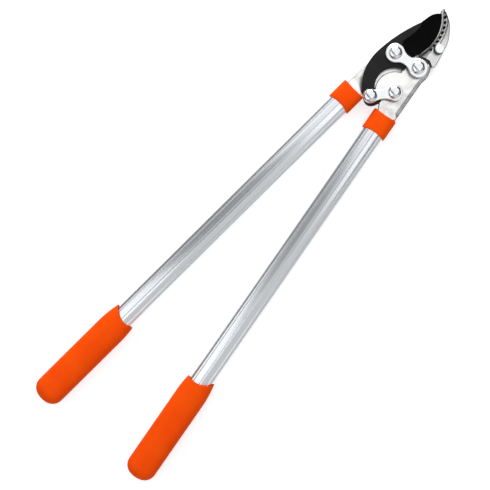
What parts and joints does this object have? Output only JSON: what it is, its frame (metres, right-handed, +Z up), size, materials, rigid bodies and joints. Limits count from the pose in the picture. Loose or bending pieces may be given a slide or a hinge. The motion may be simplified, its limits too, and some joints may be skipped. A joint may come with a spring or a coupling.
{
  "type": "lopper",
  "caption": "Long handled compound action lopper with a serrated hook, black bypass blade, drive link, oval aluminium handles and orange plastic grips.",
  "frame": {"origin": "on the main pivot's axis at floor level, with the closed tool lying flat, bolt heads up", "axes": "+Y along the bisector of the closed handles towards the jaws, +Z up along the pivots, +X towards the moving handle"},
  "size_m": [0.2036, 0.7543, 0.0301],
  "materials": {
    "steel": "satin zinc",
    "zinc": "bright zinc",
    "black_steel": "matt black coating",
    "aluminium": "satin extrusion",
    "orange": "satin moulded",
    "black_plastic": "moulded"
  },
  "bodies": {
    "hook_handle": {"hook_plate": "steel", "front_strap": "zinc", "blade_pivot_bolt": "zinc", "main_pivot_bolt": "zinc", "blade_pivot_spacer": "zinc", "main_pivot_spacer": "zinc", "blade_pivot_washer": "zinc", "main_pivot_washer": "zinc", "blade_pivot_nut": "zinc", "main_pivot_nut": "zinc", "jaw_stud": "zinc", "left_front_tang_pin": "zinc", "left_rear_tang_pin": "zinc", "left_tang_insert": "black_plastic", "left_tube": "aluminium", "left_collar": "orange", "left_grip": "orange"},
    "lever_handle": {"lever_plate": "steel", "link_bolt": "zinc", "link_spacer": "zinc", "link_washer": "zinc", "link_nut": "zinc", "right_front_tang_pin": "zinc", "right_rear_tang_pin": "zinc", "right_tang_insert": "black_plastic", "right_tube": "aluminium", "right_collar": "orange", "right_grip": "orange"},
    "blade": {"blade": "black_steel"},
    "link": {"drive_link": "zinc", "tail_rivet": "zinc"}
  },
  "joints": [
    {"name": "lever_pivot", "type": "hinge", "parent": "hook_handle", "child": "lever_handle", "pos_m": [0, 0, 0.014], "axis": [0, 0, 1], "range_deg": [0, 55]},
    {"name": "blade_pivot", "type": "hinge", "parent": "hook_handle", "child": "blade", "pos_m": [-0.0367, -0.0042, 0.018], "axis": [0, 0, 1], "range_deg": [0, 36]},
    {"name": "link_pivot", "type": "hinge", "parent": "lever_handle", "child": "link", "pos_m": [-0.0032, -0.0458, 0.022], "axis": [0, 0, 1], "range_deg": [-64, 0]}
  ],
  "couplings": [
    {"joint": "blade_pivot", "follows": "lever_pivot", "ratio": 0.645},
    {"joint": "link_pivot", "follows": "lever_pivot", "ratio": -1.15}
  ]
}
